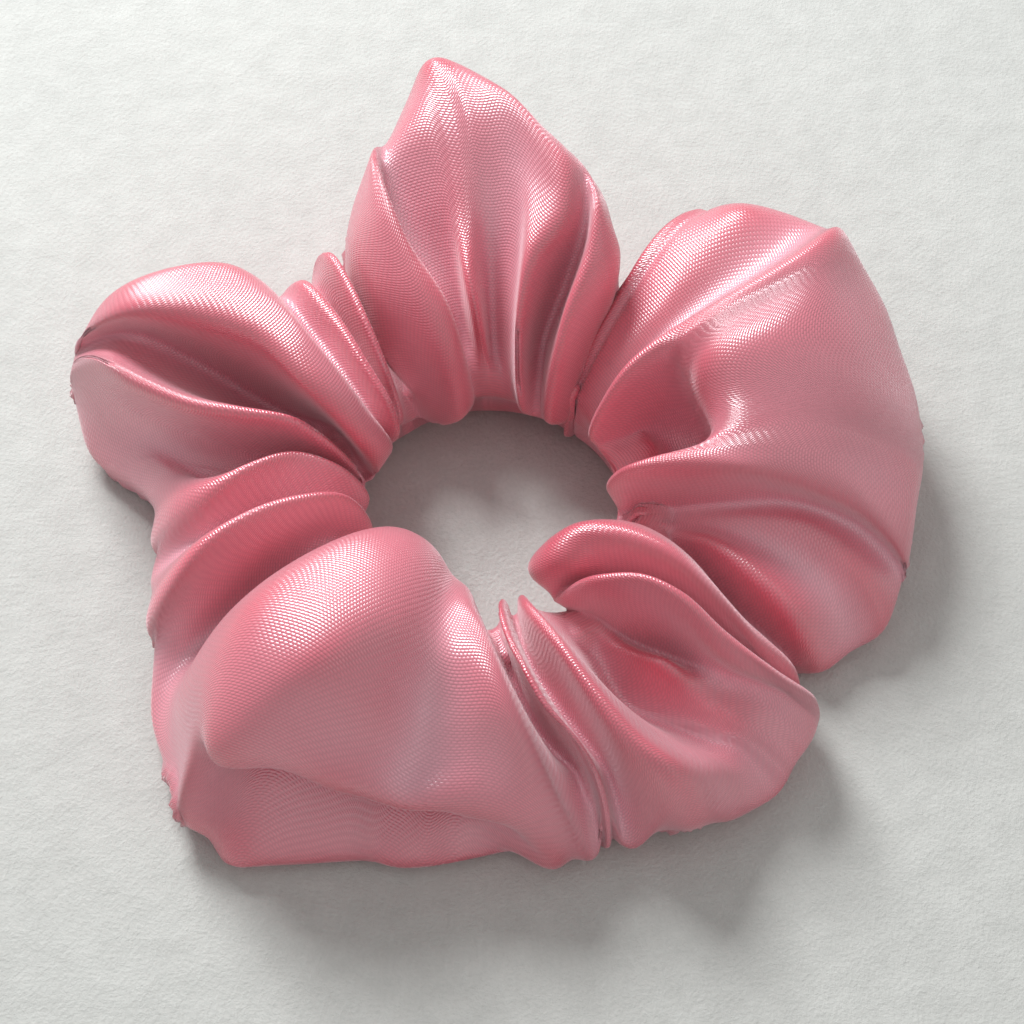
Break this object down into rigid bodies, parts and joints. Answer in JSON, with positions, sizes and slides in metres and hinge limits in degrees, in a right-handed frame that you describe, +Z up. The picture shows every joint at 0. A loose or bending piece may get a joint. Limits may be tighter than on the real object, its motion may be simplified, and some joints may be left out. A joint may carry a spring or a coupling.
{
  "type": "scrunchie",
  "caption": "Satin scrunchie: a gathered tube of pink cloth on a stretchy elastic loop, with a round central hole for hair.",
  "frame": {"origin": "middle of the footprint, on the surface that the scrunchie lies on", "axes": "+Z up, out of the hole; +X the way the right half is pulled when the scrunchie is stretched; +Y towards the tall puff at the back"},
  "size_m": [0.1156, 0.1116, 0.0391],
  "materials": {
    "satin": "satin",
    "sewing_thread": "matte",
    "elastic": "matte"
  },
  "bodies": {
    "left_half": {"cover_left": "satin", "elastic_band": "elastic", "elastic_join_thread": "sewing_thread", "tube_seam_thread": "sewing_thread"},
    "right_half": {"cover_right": "satin", "closing_seam_thread": "sewing_thread"}
  },
  "joints": [
    {"name": "stretch", "type": "slide", "parent": "left_half", "child": "right_half", "axis": [1, 0, 0], "range_m": [0, 0.08], "stiffness_N_per_m": 75, "deforming": ["elastic_band", "tube_seam_thread"]}
  ]
}
